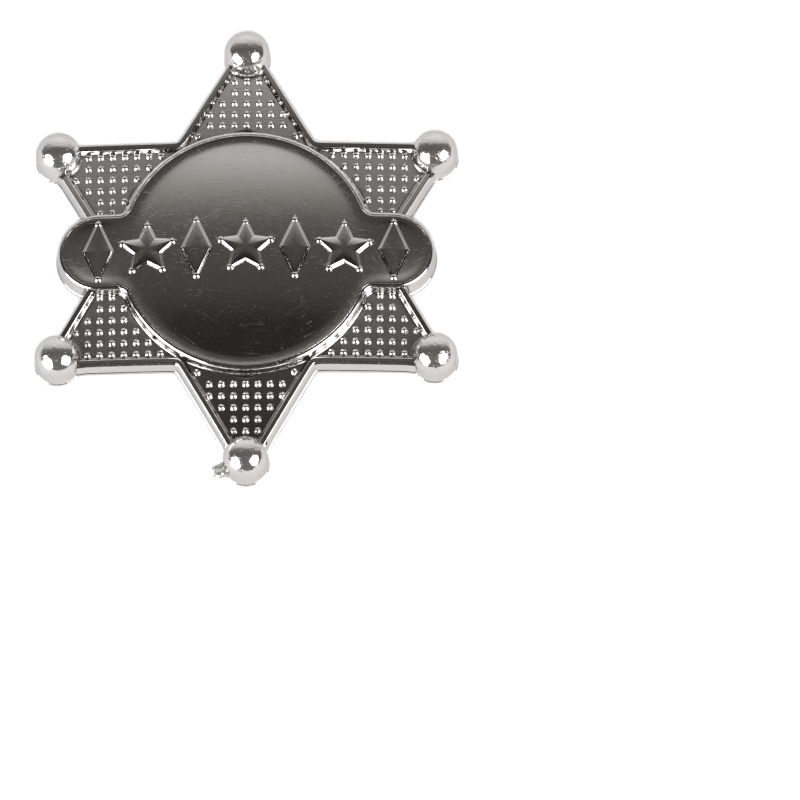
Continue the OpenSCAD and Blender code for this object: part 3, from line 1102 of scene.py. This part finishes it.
def make_light(context, name, direction, distance, spread, radiance, shown):
    """A round soft lamp facing the badge from a direction, spread either way by an angle in degrees.

    Shown in reflections, it is left out of the floor's light; otherwise it only lights the floor.
    """
    data = bpy.data.lights.new(name, "AREA")
    radius = distance * math.tan(math.radians(spread))
    data.shape = "DISK"
    data.size = 2.0 * radius
    data.energy = radiance * (math.pi * radius) ** 2
    lamp = bpy.data.objects.new(name, data)
    towards = Vector(direction).normalized()
    lamp.location = towards * distance
    lamp.rotation_mode = "QUATERNION"
    lamp.rotation_quaternion = towards.to_track_quat("Z", "Y")
    lamp.visible_camera = False
    lamp.visible_glossy = shown
    lamp.visible_diffuse = not shown
    context.scene.collection.objects.link(lamp)


def make_world(context):
    """The studio round the badge: a dim warm room with a bright backdrop behind the badge's top arm.

    Its radiance follows the direction's share along +Y, and the dimmer it is, the warmer.
    """
    world = bpy.data.worlds.new("studio")
    world.use_nodes = True
    tree = world.node_tree
    towards = add_node(tree, "ShaderNodeTexCoord").outputs["Generated"]
    along = add_node(tree, "ShaderNodeSeparateXYZ", {"Vector": towards}).outputs["Y"]
    ramp = add_node(tree, "ShaderNodeValToRGB", {"Fac": remap(tree, along, -1.0, 1.0, 0.0, 1.0)})

    # The direction's share along +Y, and the radiance there
    stops = {-1.0: 0.1, -0.3: 0.06, 0.0: 0.025, 0.16: 0.03, 0.25: 0.08, 0.39: 0.1, 0.44: 0.135,
             0.49: 0.23, 0.56: 0.46, 0.6: 0.66, 0.7: 0.8, 0.85: 1.0, 1.0: 1.15}
    warmth = 0.08
    elements = ramp.color_ramp.elements
    while len(elements) < len(stops):
        elements.new(0.5)
    for element, (share_y, radiance) in zip(elements, stops.items()):
        element.position = 0.5 + 0.5 * share_y
        warm = warmth * (1.0 - radiance)
        element.color = (radiance * (1.0 + warm), radiance, radiance * (1.0 - warm), 1.0)
    tree.links.new(ramp.outputs["Color"], tree.nodes["Background"].inputs["Color"])
    context.scene.world = world


class BADGE_OT_stage(BadgeOperator):
    """Floor, lamps, surroundings and camera"""

    bl_idname = "badge.make_stage"
    bl_label = "Stage"

    def execute(self, context):
        stage = context.scene.badge_stage
        context.scene.view_settings.view_transform = "Standard"
        make_floor(context, stage)
        make_world(context)

        # Direction and spread of the lamps that show in the plating
        lamps = {"lamp_left": ((-0.761, -0.562, 0.322), 25.0), "lamp_right": ((0.726, -0.445, 0.524), 22.0)}
        for name, (direction, spread) in lamps.items():
            make_light(context, name, direction, distance=0.9, spread=spread, radiance=8.0, shown=True)
        make_light(context, "fill_above", camera_axes(stage)[2], distance=1.6, spread=6.0, radiance=98.0,
                   shown=False)
        make_camera(context, stage)
        return {"FINISHED"}


# Panel and registration


OPERATORS = [
    BADGE_OT_stage, BADGE_OT_star, BADGE_OT_plate, BADGE_OT_balls, BADGE_OT_beads, BADGE_OT_ornament,
    BADGE_OT_stub, BADGE_OT_pad, BADGE_OT_pin,
]


class BADGE_PT_panel(bpy.types.Panel):
    """Lists the badge's pieces and their sizes"""

    bl_label = "Star Badge"
    bl_idname = "BADGE_PT_panel"
    bl_space_type = "VIEW_3D"
    bl_region_type = "UI"
    bl_category = "Badge"

    def draw(self, context):
        layout = self.layout
        for operator in OPERATORS:
            layout.operator(operator.bl_idname, text=operator.bl_label)
        for name, group in GROUPS.items():
            box = layout.box()
            box.label(text=group.__name__)
            for key in group.__annotations__:
                box.prop(getattr(context.scene, name), key)


def register():
    for group in GROUPS.values():
        bpy.utils.register_class(group)
    for name, group in GROUPS.items():
        setattr(bpy.types.Scene, name, PointerProperty(type=group))
    for operator in OPERATORS:
        bpy.utils.register_class(operator)
    bpy.utils.register_class(BADGE_PT_panel)


def unregister():
    bpy.utils.unregister_class(BADGE_PT_panel)
    for operator in reversed(OPERATORS):
        bpy.utils.unregister_class(operator)
    for name in GROUPS:
        delattr(bpy.types.Scene, name)
    for group in reversed(GROUPS.values()):
        bpy.utils.unregister_class(group)


def main():
    register()
    for operator in OPERATORS:
        group, name = operator.bl_idname.split(".")
        getattr(getattr(bpy.ops, group), name)()


if __name__ == "__main__":
    main()
